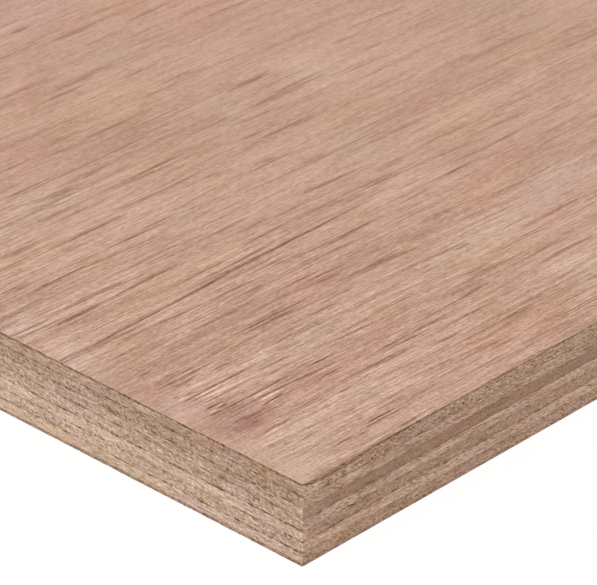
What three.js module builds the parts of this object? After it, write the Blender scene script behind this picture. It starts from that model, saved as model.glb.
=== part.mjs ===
// A sheet of hardwood-faced plywood, 2440 x 1220 x 18 mm. Millimetres, +Z up.
//
// Nine rotary-cut veneers are glued face to face, each with its grain at right angles to the
// next: a thin sanded face and back with the grain along the sheet, and seven thicker core
// veneers between them, the first and the last of which run across it.
//
// The sheet lies flat. The origin is the middle of its underside, X runs along its length and
// its face grain, and Y runs across its width.

import * as THREE from "three";

// The sheet as sawn
const sheetLength = 2440;
const sheetWidth = 1220;
const cornerRadius = 0.5; // each upright corner, as the saw and handling leave it
const arris = 0.2; // the long and short edges of the face and the back, broken by the sander

// Veneer gauges, which add up to 18 mm: 2 of the thin, 4 of the cross and 3 of the long
const thinVeneer = 0.5;
const crossVeneer = 2.375;
const longVeneer = 2.5;

// Each veneer's own shade, from the face down
const faceShade = 0xc8a38c;
const coreShades = [0xad8f79, 0xab9079, 0xa78a74, 0xb39781, 0xb89a84, 0xb99d87, 0xb59a84];
const backShade = 0xc1a088;

// Surface finish: the face and back are sanded, and the core shows only where it is sawn
const sandedRoughness = 0.6;
const sawnRoughness = 0.9;

const cornerSteps = 4; // facets of one rounded corner
const levelStep = 1 / 1024; // a 32-bit number holds a multiple of this without rounding

// Two veneers meet in one plane only if both place it at the same 32-bit height.
function glueLevel(height) {
  return Math.round(height / levelStep) * levelStep;
}

// The lay-up from the face down. Core veneers alternate, and begin and end with a cross veneer.
function layUp() {
  const core = coreShades.map((shade, i) => {
    const across = i % 2 === 0;
    return {
      name: (across ? "cross_core_" : "long_core_") + (i + 1),
      thickness: across ? crossVeneer : longVeneer,
      shade,
      roughness: sawnRoughness,
    };
  });
  const face = { name: "face_veneer", thickness: thinVeneer, shade: faceShade };
  const back = { name: "back_veneer", thickness: thinVeneer, shade: backShade };
  face.roughness = back.roughness = sandedRoughness;
  return [face, ...core, back];
}

// The sheet's outline seen from above, anticlockwise, drawn in by inset on every side.
function outline(inset) {
  const x = sheetLength / 2 - cornerRadius;
  const y = sheetWidth / 2 - cornerRadius;
  const centres = [[x, y], [-x, y], [-x, -y], [x, -y]];
  return centres.flatMap(([cx, cy], quarter) => {
    const start = (quarter * Math.PI) / 2;
    const corner = new THREE.EllipseCurve(
      cx, cy, cornerRadius - inset, cornerRadius - inset, start, start + Math.PI / 2,
    );
    return corner.getPoints(cornerSteps);
  });
}

// A closed solid lofted upwards through rings of the sheet's outline, each with its own height
// and inset, and capped flat at both ends.
function loft(rings) {
  const outlines = rings.map(({ inset }) => outline(inset));
  const count = outlines[0].length;
  const positions = rings.flatMap(({ height }, k) =>
    outlines[k].flatMap((point) => [point.x, point.y, height]),
  );
  const index = [];
  for (let k = 0; k < rings.length - 1; k++) {
    for (let i = 0; i < count; i++) {
      const here = k * count + i;
      const next = k * count + ((i + 1) % count);
      index.push(here, next, next + count, here, next + count, here + count);
    }
  }
  const top = (rings.length - 1) * count;
  for (const [a, b, c] of THREE.ShapeUtils.triangulateShape(outlines[0], [])) {
    index.push(c, b, a);
    index.push(top + a, top + b, top + c);
  }
  const geometry = new THREE.BufferGeometry();
  geometry.setAttribute("position", new THREE.Float32BufferAttribute(positions, 3));
  geometry.setIndex(index);
  const faceted = geometry.toNonIndexed(); // unshared corners keep every edge crisp
  faceted.computeVertexNormals();
  return faceted;
}

// One veneer between two levels. The face and the back have their outer edges broken.
function veneer(ply, bottom, top, brokenBelow, brokenAbove) {
  const rings = [];
  if (brokenBelow) rings.push({ height: bottom, inset: arris });
  rings.push({ height: brokenBelow ? bottom + arris : bottom, inset: 0 });
  rings.push({ height: brokenAbove ? top - arris : top, inset: 0 });
  if (brokenAbove) rings.push({ height: top, inset: arris });
  const material = new THREE.MeshStandardMaterial({
    color: ply.shade,
    roughness: ply.roughness,
    metalness: 0,
  });
  const mesh = new THREE.Mesh(loft(rings), material);
  mesh.name = ply.name;
  return mesh;
}

// The whole sheet, laid up from the back veneer at height 0.
function plywoodSheet() {
  const sheet = new THREE.Group();
  const plies = layUp().reverse();
  let height = 0;
  plies.forEach((ply, i) => {
    const bottom = glueLevel(height);
    height += ply.thickness;
    const top = glueLevel(height);
    sheet.add(veneer(ply, bottom, top, i === 0, i === plies.length - 1));
  });
  return sheet;
}

const plywood = plywoodSheet();

export default plywood;
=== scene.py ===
"""A sheet of hardwood-faced plywood lying flat: its nine veneers as fine meshes, and their finish.

The origin is in the middle of the sheet's underside, X runs along the sheet and its face grain,
Y across it and Z up. Names that end in _MM, the functions of shape and the finishes work in
millimetres; everything else is in metres. The near corner is the one at the low ends of X and Y.
"""

import bpy
import numpy as np
from mathutils import Matrix, Vector


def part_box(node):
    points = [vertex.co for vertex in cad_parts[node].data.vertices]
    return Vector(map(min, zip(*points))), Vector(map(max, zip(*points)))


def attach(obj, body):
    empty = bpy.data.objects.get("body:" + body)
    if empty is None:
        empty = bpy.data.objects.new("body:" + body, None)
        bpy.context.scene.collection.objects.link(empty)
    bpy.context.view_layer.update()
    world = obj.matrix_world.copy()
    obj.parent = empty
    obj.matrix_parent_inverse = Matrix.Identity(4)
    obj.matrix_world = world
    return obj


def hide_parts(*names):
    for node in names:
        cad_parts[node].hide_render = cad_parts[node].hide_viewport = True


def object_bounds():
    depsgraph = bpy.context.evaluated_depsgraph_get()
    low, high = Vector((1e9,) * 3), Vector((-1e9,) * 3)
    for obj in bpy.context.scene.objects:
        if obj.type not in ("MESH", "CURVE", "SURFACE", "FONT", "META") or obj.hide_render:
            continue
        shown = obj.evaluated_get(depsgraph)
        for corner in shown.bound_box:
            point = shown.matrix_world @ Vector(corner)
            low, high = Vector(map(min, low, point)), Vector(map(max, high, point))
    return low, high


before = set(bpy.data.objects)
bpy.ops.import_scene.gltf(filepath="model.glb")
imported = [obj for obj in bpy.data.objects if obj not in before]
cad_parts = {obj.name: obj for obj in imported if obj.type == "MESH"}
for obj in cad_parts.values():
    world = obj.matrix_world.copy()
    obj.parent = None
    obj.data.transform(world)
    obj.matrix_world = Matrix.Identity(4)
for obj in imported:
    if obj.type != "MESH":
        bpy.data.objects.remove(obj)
cad_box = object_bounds()

MM = 0.001
OUT_OF_REACH_MM = 1e6  # farther than any mark on the sheet reaches

# The sheet, from the frame, in millimetres
LOW_MM = np.array(cad_box[0]) / MM
HIGH_MM = np.array(cad_box[1]) / MM
HALF_LENGTH_MM = HIGH_MM[0]
HALF_WIDTH_MM = HIGH_MM[1]
TOP_MM = HIGH_MM[2]

# The veneers from the back up, with the finish of each one's sawn edge: brightness on screen
# where it is sawn along the grain and across it, how strong the pattern of its pores is where it
# is sawn across, and how crumbled it is where it is sawn along
EDGE_TONES = {
    "back_veneer": (148, 136, 1.0, 0),
    "cross_core_7": (173, 157, 0.9, 20),
    "long_core_6": (172, 168, 1.1, 0),
    "cross_core_5": (174, 153, 0.7, 55),
    "long_core_4": (168, 163, 1.1, 0),
    "cross_core_3": (159, 140, 0.45, 60),
    "long_core_2": (160, 152, 1.1, 0),
    "cross_core_1": (154, 158, 1.1, 35),
    "face_veneer": (142, 133, 1.0, 0),
}
LAY_UP = list(EDGE_TONES)
BACK, FACE = 0, len(LAY_UP) - 1
LEVELS_MM = [LOW_MM[2]] + [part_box(node)[1][2] / MM for node in LAY_UP]  # of the glue lines

# The outline of every ply, and the columns of its edge mesh
CORNER_RADIUS_MM = 0.22
FINE_STEP_MM = 0.25  # between columns close to the near corner
COARSE_STEP_MM = 2.6  # and far from it
FINE_REACH_MM = 175.0  # how far from it they start to spread
FADE_MM = 300.0  # and where they have spread
CORNER_STEP_MM = 0.09  # between columns round each of the four corners
CORNER_GROWTH = 0.15  # how much that step grows with each millimetre from the corner
OUTLINE_PACE_MM = 0.02  # the pace at which the outline is walked to set its columns out

# The grids inside each ply's flat faces
GRID_INSET_MM = 4.5  # from the outline to the grid
GRID_HALF_LENGTH_MM = HALF_LENGTH_MM - GRID_INSET_MM
GRID_HALF_WIDTH_MM = HALF_WIDTH_MM - GRID_INSET_MM
GRID_PACE_MM = 0.1  # the pace at which its lines are set out
FACE_STEP_MM, BACK_STEP_MM = 2.5, 4.0  # along the grain near the corner, where the face shows
ACROSS_STEP_MM = 0.65  # and across it
FAR_STEP_MM, FAR_ACROSS_MM = 60.0, 30.0  # the same two far from the corner
GLUED_COLUMNS, GLUED_ROWS = 9, 5  # where the face is glued and nothing shows

# The camera, aimed past the near corner of the face
AZIMUTH = np.radians(-46.466)
ELEVATION = np.radians(29.490)
ROLL = np.radians(0.153)
DISTANCE = 0.85021
AIM_RIGHT, AIM_UP = -0.00073, 0.03498
FOCAL_PIXELS = 4655.4
PICTURE_WIDTH = 597
SENSOR_MM = 36.0
FARTHEST_SEEN = 100

# The studio
WHITE = (1, 1, 1, 1)
SKY_COLOUR = (1, 0.985, 0.965, 1)
SKY_STRENGTH = 0.54
KEY_STRENGTH = 1.75
KEY_SPREAD = np.radians(24)
KEY_COMES_FROM = (-0.58, -0.16, 0.8)
FLOOR_REACH = 30.0
FLOOR_COLOUR = (0.9, 0.9, 0.9, 1)
FLOOR_GLOW = 1.05
GLOW_SHARE = 0.8  # of what the camera sees in the floor; the rest carries the shadow


# ---------------------------------------------------------------- nodes


def join(tree, value, slot):
    """Links a field or a socket to slot, or sets the slot to a plain value."""
    if isinstance(value, Field):
        value = value.socket
    if isinstance(value, bpy.types.NodeSocket):
        tree.links.new(value, slot)
    else:
        slot.default_value = value


def add_node(tree, kind, *values, named=(), **settings):
    """A new node with its first inputs set or linked to values, and those of named by name."""
    made = tree.nodes.new(kind)
    for name, setting in settings.items():
        setattr(made, name, setting)
    for slot, value in zip(made.inputs, values):
        join(tree, value, slot)
    for name, value in dict(named).items():
        join(tree, value, made.inputs[name])
    return made


def cleared_tree(owner):
    """The node tree of a new world or material, with nothing in it."""
    owner.use_nodes = True
    owner.node_tree.nodes.clear()
    return owner.node_tree


def end_studio_tree(tree, kind, lighting, seen):
    """Ends a tree with an output of this kind: seen for the camera, and lighting for the rest."""
    path = add_node(tree, "ShaderNodeLightPath")
    to_camera = path.outputs["Is Camera Ray"]
    mix = add_node(tree, "ShaderNodeMixShader", to_camera, lighting.outputs[0], seen.outputs[0])
    add_node(tree, kind, mix.outputs[0])


# ---------------------------------------------------------------- camera, floor and light


def make_camera():
    """A long lens held at AZIMUTH and ELEVATION, DISTANCE from the corner along its own axis."""
    outwards = np.cos(ELEVATION)
    back = Vector((np.sin(AZIMUTH) * outwards, -np.cos(AZIMUTH) * outwards, np.sin(ELEVATION)))
    level = Vector((np.cos(AZIMUTH), np.sin(AZIMUTH), 0))
    upright = back.cross(level)
    right = level * np.cos(ROLL) + upright * np.sin(ROLL)
    up = upright * np.cos(ROLL) - level * np.sin(ROLL)
    corner = Vector((LOW_MM[0], LOW_MM[1], TOP_MM)) * MM
    place = corner + back * DISTANCE + right * AIM_RIGHT + up * AIM_UP
    data = bpy.data.cameras.new("camera")
    data.sensor_fit = "HORIZONTAL"
    data.sensor_width = SENSOR_MM
    data.lens = SENSOR_MM * FOCAL_PIXELS / PICTURE_WIDTH
    data.clip_end = FARTHEST_SEEN
    camera = bpy.data.objects.new("camera", data)
    turn = Matrix((right, up, back)).transposed().to_4x4()
    camera.matrix_world = Matrix.Translation(place) @ turn
    bpy.context.scene.collection.objects.link(camera)
    bpy.context.scene.camera = camera


def make_lights():
    """A pale even sky with a broad, soft key light from the left of the near corner."""
    world = bpy.data.worlds.new("studio")
    tree = cleared_tree(world)
    sky = add_node(tree, "ShaderNodeBackground", SKY_COLOUR, SKY_STRENGTH)
    backdrop = add_node(tree, "ShaderNodeBackground", WHITE)
    end_studio_tree(tree, "ShaderNodeOutputWorld", sky, backdrop)
    bpy.context.scene.world = world
    key = bpy.data.lights.new("key", "SUN")
    key.energy = KEY_STRENGTH
    key.angle = KEY_SPREAD
    lamp = bpy.data.objects.new("key", key)
    lamp.rotation_euler = Vector(KEY_COMES_FROM).to_track_quat("Z", "Y").to_euler()
    bpy.context.scene.collection.objects.link(lamp)


def make_floor():
    """A wide pale floor, white to the camera but for the sheet's soft shadow."""
    half = FLOOR_REACH
    corners = [(-half, -half, 0), (half, -half, 0), (half, half, 0), (-half, half, 0)]
    mesh = bpy.data.meshes.new("floor")
    mesh.from_pydata(corners, [], [(0, 1, 2, 3)])
    floor = bpy.data.objects.new("floor", mesh)
    bpy.context.scene.collection.objects.link(floor)
    material = bpy.data.materials.new("floor")
    tree = cleared_tree(material)
    matt = add_node(tree, "ShaderNodeBsdfDiffuse", FLOOR_COLOUR)
    glow = add_node(tree, "ShaderNodeEmission", WHITE, FLOOR_GLOW)
    ends = matt.outputs[0], glow.outputs[0]
    shadowed = add_node(tree, "ShaderNodeMixShader", GLOW_SHARE, *ends)
    end_studio_tree(tree, "ShaderNodeOutputMaterial", matt, shadowed)
    mesh.materials.append(material)


# ---------------------------------------------------------------- noise for shapes


LATTICE = 256  # whole-number points each way before the noise repeats


def noise(seed, u, v):
    """Smooth noise from -1 to 1. Each whole-number point (u, v) has a random height of its own,
    and the heights are eased into each other with 3t^2 - 2t^3 along u and v."""
    heights = np.random.default_rng(seed).uniform(-1, 1, (LATTICE, LATTICE))
    column, row = np.floor(u).astype(int), np.floor(v).astype(int)
    s, t = u - column, v - row
    s, t = s * s * (3 - 2 * s), t * t * (3 - 2 * t)

    def here(i, j):
        return heights[(column + i) % LATTICE, (row + j) % LATTICE]

    low = here(0, 0) * (1 - s) + here(1, 0) * s
    high = here(0, 1) * (1 - s) + here(1, 1) * s
    return low * (1 - t) + high * t


def rough(seed, u, v, octaves=3):
    """Noise summed over octaves, each twice as fine and half as high as the last."""
    total = sum(0.5**k * noise(seed + k, u * 2**k, v * 2**k) for k in range(octaves))
    return total / (2 - 0.5 ** (octaves - 1))


def ease(x, low, high):
    """0 at low and beyond, 1 at high and beyond, and 3t^2 - 2t^3 between them."""
    t = np.clip((x - low) / (high - low), 0, 1)
    return t * t * (3 - 2 * t)


# ---------------------------------------------------------------- the sheet's outline


def outline():
    """Points and outward normals anticlockwise round the sheet from the near corner: four
    straight sides joined by quarter circles of CORNER_RADIUS_MM. The step between points grows
    from FINE_STEP_MM near that corner to COARSE_STEP_MM, and is CORNER_STEP_MM round each corner.
    A walk at a small fixed pace adds up how many steps each pace is worth, and the points lie
    where that sum passes the whole numbers."""
    r = CORNER_RADIUS_MM
    x, y = HALF_LENGTH_MM - r, HALF_WIDTH_MM - r
    starts = np.array([(-x, -y - r), (x + r, -y), (x, y + r), (-x - r, y)])
    along = np.array([(1, 0), (0, 1), (-1, 0), (0, -1)])
    centres = np.array([(x, -y), (x, y), (-x, y), (-x, -y)])
    lengths = np.array([2 * x, 2 * y, 2 * x, 2 * y])
    arc = r * np.pi / 2
    begins = np.concatenate([[0], np.cumsum(lengths + arc)])
    total = begins[-1]

    walk = np.arange(0, total, OUTLINE_PACE_MM)
    reach = np.minimum(walk, total - walk)
    step = FINE_STEP_MM + (COARSE_STEP_MM - FINE_STEP_MM) * ease(reach, FINE_REACH_MM, FADE_MM)
    corner_at = np.append(begins, begins[:-1] + lengths)
    nearest = np.abs(walk[:, None] - corner_at[None, :]).min(1)
    step = np.minimum(step, CORNER_STEP_MM + CORNER_GROWTH * np.maximum(nearest - 2 * r, 0))
    cells = np.concatenate([[0], np.cumsum(OUTLINE_PACE_MM / step)])
    count = int(cells[-1])
    s = np.interp(np.arange(count) * cells[-1] / count, cells, np.append(walk, total))

    side = np.searchsorted(begins, s, side="right") - 1
    on = s - begins[side]
    straight = on < lengths[side]
    quarter = -np.pi / 2 + side * np.pi / 2 + np.clip(on - lengths[side], 0, arc) / r
    bent = centres[side] + r * np.stack([np.cos(quarter), np.sin(quarter)], 1)
    flat = starts[side] + along[side] * on[:, None]
    points = np.where(straight[:, None], flat, bent)
    normals = np.stack([np.cos(quarter), np.sin(quarter)], 1)
    return points, normals


POINTS_MM, NORMALS = outline()
COLUMNS = len(POINTS_MM)
# Distance along the edges as they unroll from the near corner, + on the long side, - on the end
UNROLLED_MM = POINTS_MM[:, 0] - POINTS_MM[:, 1] + HALF_LENGTH_MM - HALF_WIDTH_MM
# The same on the two sides that meet there, and out of all reach on the other two
MEETS_CORNER = (POINTS_MM + [HALF_LENGTH_MM, HALF_WIDTH_MM]).min(1) < CORNER_RADIUS_MM
FROM_CORNER_MM = np.where(MEETS_CORNER, UNROLLED_MM, OUT_OF_REACH_MM)


# ---------------------------------------------------------------- veneers


# How far each glue line, from the back up, was pressed off its level near the corner: along the
# long side, and along the end. Then how dark its glue shows on each. The first line, the back's
# underside, has no glue: its darkness is painted shade along the foot of the edges, where the
# sheet meets the floor.
SIDE_RISE_MM = (0, -0.08, -0.15, -0.24, -0.26, -0.45, -0.42, -0.42, 0, 0)
END_RISE_MM = (0, 0.05, -0.04, -0.03, 0.02, 0.06, 0.15, 0.1, 0, 0)
SIDE_GLUE_AND_SHADE = (0.7, 0.25, 0.4, 0.75, 0.5, 0.6, 0.3, 0.3, 0.8, 0)
END_GLUE_AND_SHADE = (0.7, 0.55, 1.3, 1.2, 1.2, 0.7, 0.9, 0.8, 0.9, 0)
RISE_REACH_MM = 250.0  # where they are back at their levels
WAVE_MM = 30.0  # length of a glue line's slow wave
WAVE_SWING_MM, THIN_SWING_MM = 0.2, 0.04  # how far it swings, and beside the thin outer veneers
NEAR_CALM = 0.6  # the share of that swing which is missing near the corner
TURN_MM = 1.5  # how far either side of the corner what lies on one edge passes to the other

# The long side's edge, where the face veneer was crushed next to the corner
CRUSH_BEGINS_MM = (0.2, 4.0)  # from the corner: where it starts, and where it is in full
CRUSH_ENDS_MM = (19.5, 13.5)  # where it has ended, and where it starts to fade
CRUSH_MM = 0.84  # the dip of the veneer's glue line
CRUSH_FACE_MM = 0.26  # the dip of the face at its edge
CRUSH_REACH_MM = 1.8  # how far in from the edge that dip reaches
SCUFF = (-30, 0.5, 0.0)  # the lift, rosiness and plum of the scuffed rim
SCUFF_REACH_MM = (1.3, 0.1)  # in from the edge: where it ends, and where it is in full

# The worn edge all round the face: its width and depth, and how far each of them varies
ARRIS_INSETS_MM = (0.08, 0.25, 0.6, 1.5, 3.5)  # rows of vertices in from the outline
WORN_WIDTH_MM, WORN_WIDTH_SWING_MM = 0.28, 0.15
WORN_DROP_MM, WORN_DROP_SWING_MM = 0.07, 0.05


def by_side(along_side, along_end):
    """A value for each outline point: one along the long sides, another along the ends, eased
    from one to the other over the corner."""
    a = UNROLLED_MM
    return along_end + (along_side - along_end) * ease(a, -TURN_MM, TURN_MM)


def crushed():
    """How far the face veneer is crushed at each outline point, from 0 to 1."""
    a = FROM_CORNER_MM
    return ease(a, *CRUSH_BEGINS_MM) * ease(a, *CRUSH_ENDS_MM)


def scuffed():
    """The darkening and reddening of the face's worn edge where it is crushed, for each row of
    ARRIS_INSETS_MM."""
    strength = crushed() * ease(np.array(ARRIS_INSETS_MM), *SCUFF_REACH_MM)[:, None]
    return strength[..., None] * SCUFF


def worn_away(inset):
    """How far the edge of the face lies below it at a distance inset from the outline: the edge is
    broken by a curve that falls as the square of the distance left to its width, both worn
    unevenly, and where it is crushed the face dips by another, wider curve of that kind."""
    a = UNROLLED_MM
    width = WORN_WIDTH_MM + WORN_WIDTH_SWING_MM * rough(720, a / 6, 0 * a)
    drop = WORN_DROP_MM + WORN_DROP_SWING_MM * rough(730, a / 4, 0 * a)
    worn = drop * np.clip(1 - inset / width, 0, 1) ** 2
    return worn + CRUSH_FACE_MM * crushed() * np.clip(1 - inset / CRUSH_REACH_MM, 0, 1) ** 2


def glue_level(k):
    """Height of glue line k, the one under ply k, at each outline point: its level in the lay-up,
    its rise near the corner, and a slow wave, lower near the corner. Line 0 is the back, which is
    flat, and the last is the face, with its worn edge."""
    a = UNROLLED_MM
    level = np.full(COLUMNS, LEVELS_MM[k])
    if k == BACK:
        return level
    if k == FACE + 1:
        return level - worn_away(0)
    near = ease(np.abs(FROM_CORNER_MM), RISE_REACH_MM, RISE_REACH_MM / 2)
    swing = THIN_SWING_MM if k in (BACK + 1, FACE) else WAVE_SWING_MM
    swing = swing * (1 - NEAR_CALM * near)
    level = level + near * by_side(SIDE_RISE_MM[k], END_RISE_MM[k])
    if k == FACE:
        level = level - CRUSH_MM * crushed()
    return level + swing * rough(40 + k, a / WAVE_MM, 0 * a)


# Marks on the sawn edges near the corner, in millimetres: how far along, + on the long side and
# - on the end, how far below the face, their reach both ways, how light, how rosy and how plum.
# Noughts at the end of a row are left out.
EDGE_MARKS = (
    # the corner itself: a painted highlight down its whole height, then the ends of the dark glue
    # lines and two chips
    (-0.05, 9, 0.14, 9, 16), (-0.2, 2.7, 0.3, 0.3, -60), (-0.3, 5.8, 0.4, 0.7, 22),
    (-0.1, 10.1, 0.4, 0.25, -50), (-0.1, 12.8, 0.4, 0.25, -45), (0.1, 14.3, 0.3, 0.3, 50),
    (-0.1, 14.9, 0.4, 0.25, -50),
    # the end
    (-9, 1.2, 8, 0.7, -14, 0.2), (-70, 12.5, 45, 8, 8), (-2.2, 2.75, 1.6, 0.28, -36, -0.9, -0.4),
    (-4.8, 2.1, 1, 0.5, -16, -0.4, -0.4), (-3.6, 4.2, 0.8, 0.9, -20, -0.8, -0.4),
    (-10, 4.9, 1.6, 0.5, -30, -0.9, -0.5), (-17, 1.8, 2, 0.6, -4, -0.9, -0.4),
    (-20.5, 1.2, 1.6, 0.3, -22, 1), (-24, 0.9, 4, 0.7, -2, 1.3, 0.2), (-27, 2.2, 3, 0.4, -16, 0.4),
    (-26, 4.3, 2, 1, 4, -0.7, -0.3), (-22, 5.6, 4.5, 0.5, -16, 0.4),
    (-20.5, 7.6, 1.6, 0.5, -26, 0.3), (-27.5, 6.1, 2.5, 0.4, -22, 0.2), (-25, 7.2, 4, 0.4, 16, 0.4),
    (-27, 8.8, 0.9, 0.4, -38, 0.2), (-7.6, 7.6, 0.7, 0.6, -26), (-5, 7.2, 0.4, 0.5, -26),
    (-21.2, 10.15, 1.2, 0.3, -66), (-25, 10.1, 0.9, 0.3, -40), (-12.8, 10.15, 1.2, 0.3, -34),
    (-23, 11.3, 4, 0.8, 10), (-5.5, 13.2, 3, 1.8, -2, 0.3, 0.9),
    (-7.5, 14.4, 0.5, 0.4, -44, 0.6, 0.4), (-1, 14, 1.2, 1, 0, 0.9),
    (-3.5, 15.9, 3.5, 0.7, 0, 0.2, 1.2), (-12.5, 15, 2, 0.7, 2, 1, 0.2),
    (-21.5, 14.5, 0.8, 0.5, -16, -0.9, -0.4), (-23, 16, 1.8, 0.7, 12, -1.2, 0.2),
    (-18, 16.6, 3, 0.6, 6, 0.7, 0.6), (-29.5, 16.6, 2, 0.8, 6, 0.2, 0.9),
    (-31, 5.8, 0.9, 0.6, -24, -0.5, -0.4), (-34.5, 5.6, 1.8, 0.6, -20, 0.5),
    (-38.5, 7.3, 1.6, 0.4, -24, 0.3), (-40.6, 7.4, 0.8, 0.6, -34, -0.8, -0.8),
    (-34, 2.6, 3, 0.5, -16, 0.2), (-42.8, 2.3, 1.2, 0.5, -26, 0.5),
    (-45.5, 0.7, 1.4, 0.6, -18, 1.1), (-49, 2.8, 4, 0.4, -20, 0.7), (-55, 2.2, 5, 1, 2, 0.9, 0.1),
    (-50, 5.2, 2.5, 0.35, -26, -0.5, -0.4), (-58.6, 7.6, 1.3, 0.3, -38),
    (-48.2, 7.65, 1.3, 0.3, -34), (-49.4, 10.15, 1.3, 0.3, -30), (-31.6, 10.15, 2.4, 0.3, -30),
    (-58.5, 9, 2.5, 1.2, -2, 0.7, 0.8), (-38.7, 12.9, 0.4, 0.6, -32), (-38.9, 14.8, 0.5, 0.6, -26),
    (-57, 14.6, 3, 1.6, 2, 0.5, 0.8), (-45, 13.8, 2, 1, 0, -1, -0.3),
    (-37.8, 16.2, 1.6, 0.8, 6, 0.8, 0.5), (-47, 16, 1.6, 0.8, 2, -1.2, -0.3),
    # painted shade: a greyer, bluer tint along the foot of both edges, where the sheet meets the
    # floor
    (0, 17.6, 90, 0.35, 0, -0.9, 0.4),
    # the long side
    (7.5, 0.95, 7.5, 0.5, -22, 0.6), (10, 1.75, 8, 0.4, 12), (15.5, 0.7, 3, 0.3, -12, 0.8),
    (22.5, 0.4, 4.5, 0.35, -22, 0.3), (34, 0.35, 11, 0.25, -4, 1.1), (37, 0.28, 8, 0.15, -14, 0.2),
    (47.5, 0.4, 2, 0.4, 12, -0.8), (54, 0.4, 3.5, 0.35, -14, 0.2), (14, 2.95, 7, 0.25, 8, -0.5),
    (28, 1.1, 9, 1.3, -9), (52, 6.7, 16, 1.1, -6), (0.8, 11.4, 0.8, 1, 30, 0.6, 0.2),
    (2.6, 2.3, 2.6, 1.2, 18, -0.5), (3, 4.3, 3, 0.9, 0, -1.2), (6.6, 3, 0.9, 0.5, -40, 0.3),
    (11, 2.7, 0.5, 0.9, -30, -1.1, -0.3), (12.4, 2.6, 0.5, 1, 18, -1.3), (14, 2.2, 0.8, 0.4, -30),
    (16, 2.2, 0.6, 0.5, -26), (13.8, 4.3, 2.2, 0.5, 26, -0.9),
    (22.4, 1.6, 0.8, 0.6, -8, -1.2, -0.2), (22.9, 3, 0.6, 0.4, -34, 0.2),
    (24, 4.9, 3, 0.6, 14, -0.6), (25.8, 6.6, 3, 1.2, -4, -1.4, -0.4),
    (18, 7.9, 1.4, 0.25, -34, 0.2), (14.8, 5.9, 1.6, 0.4, -14, 0.4), (9, 6.8, 1.4, 0.3, -12, 0.2),
    (2.6, 6.6, 2.6, 0.9, 6, -0.3), (19, 8.7, 0.8, 0.5, -16, 0.3),
    (14.2, 9.5, 1, 0.6, 24, -0.6, -0.8), (13.6, 10.8, 0.7, 0.3, -50),
    (15.6, 9.2, 0.9, 0.8, -16, 0.2), (17.2, 11.4, 0.8, 1, -22, 0.2),
    (4, 11.3, 3.5, 1, 2, 0.8, -0.4), (8, 12.6, 0.9, 0.25, -34), (10.3, 12.65, 0.8, 0.25, -44),
    (15.4, 12.6, 1, 0.3, -44), (20.5, 13.4, 0.9, 1, -16), (5, 13.6, 4, 0.8, 4, 0.9),
    (12.5, 14.2, 2.6, 0.7, 6, -0.4, -0.8), (1.4, 15.4, 1.4, 0.8, 6, -0.8, -0.6),
    (5, 16.2, 3, 0.9, 4, 1.2), (8.5, 15.6, 1.5, 0.6, -8, -0.2, -0.2),
    (11.2, 16.6, 1.2, 0.6, -20, 1.6), (13.8, 17, 1.3, 0.5, -2, -1.4, -1.2),
    (17.5, 15.8, 1, 0.4, 20, 0.4), (24.2, 15.9, 1.4, 0.9, -18, 0.3),
    (22.4, 14.6, 1.4, 0.3, 22, 0.2), (26.9, 14.8, 1.2, 0.25, 38, 0.2),
    (28, 16.8, 1.8, 0.6, -14, 1.3, -0.8), (29.5, 12.4, 0.8, 0.3, -28, 0.2),
    (25, 12.6, 0.8, 0.3, -30, 0.2), (31.5, 16.6, 1.2, 0.7, 0, 1.3, 0.2),
    (36.5, 16.6, 0.9, 0.5, -12, 0.9, -1), (38, 14.4, 5, 0.4, 12, -0.5, -0.5),
    (42.4, 16.4, 0.8, 0.6, -16, 0.8, -1), (43.5, 15.5, 2.4, 0.7, -2, -1.3, -0.4),
    (52.6, 16.6, 0.6, 0.8, 24, 0.4, 0.5), (55.5, 16, 3, 1, -8, 0.3, 1), (33, 3.3, 3, 0.4, -16, 0.2),
    (40.5, 3.1, 3, 0.3, -16), (44.6, 2, 0.7, 1.3, -14, 0.7), (46.4, 1.6, 1.1, 1, 2, -1.3),
    (48.4, 2.7, 0.7, 0.35, -30, -0.3), (53.2, 2, 2, 0.6, 12, -0.6),
    (45.4, 4.4, 1.4, 0.7, 0, 1, 0.1), (54, 3.9, 3.5, 0.9, 4, -1.2),
    (36.9, 8.2, 0.7, 0.25, -34, -0.3, -0.3), (46, 7, 2.4, 0.8, 2, 0.4, 0.7),
    (39.5, 9.3, 3, 0.5, 12), (46.6, 9.9, 0.8, 0.25, -34), (36, 12.3, 1.6, 0.4, -24, 0.2),
    (49.6, 12.3, 1.2, 0.4, -26, 0.5), (2.5, 1.9, 3, 0.7, 14, 0.2, 0.3),
    (12, 16.4, 6, 1, 0, 0.8, -1), (3, 6.2, 4.5, 1.2, 9, -0.2, -0.4),
    (21.5, 6.6, 3, 1.2, 0, 0, -0.5),
)


# Painted light: the lift, rosiness and plum given to all of the long side and all of the end, which
# stand in for the different colour of the light on the two sides, not for the wood
SIDE_PAINTED_LIGHT = (1.5, 0.9, -0.7)
END_PAINTED_LIGHT = (0.0, -0.1, -0.3)


BELL_REACHES = 3  # past this many reaches from its middle a mark is as good as nothing


def all_three(strengths):
    """The lift, rosiness and plum of a mark, with the noughts that its row leaves out."""
    return (*strengths, 0, 0)[:3]


def edge_marks(height):
    """The lift, rosiness and plum of each vertex of a sawn edge: its side's painted light, and the
    sum of the bells exp(-d^2) of EDGE_MARKS, where d is the distance from a mark's middle as a
    share of its reach."""
    # the painted light of each side, the long side's and the end's
    cast = [by_side(side, end) for side, end in zip(SIDE_PAINTED_LIGHT, END_PAINTED_LIGHT)]
    total = np.zeros((*height.shape, 3)) + np.stack(cast, -1)
    for along, depth, wide, tall, *strengths in EDGE_MARKS:
        near = np.abs(FROM_CORNER_MM - along) < BELL_REACHES * wide
        off = ((FROM_CORNER_MM[near] - along) / wide) ** 2
        off = off + ((TOP_MM - depth - height[:, near]) / tall) ** 2
        total[:, near] += np.exp(-off)[..., None] * all_three(strengths)
    return total


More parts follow.
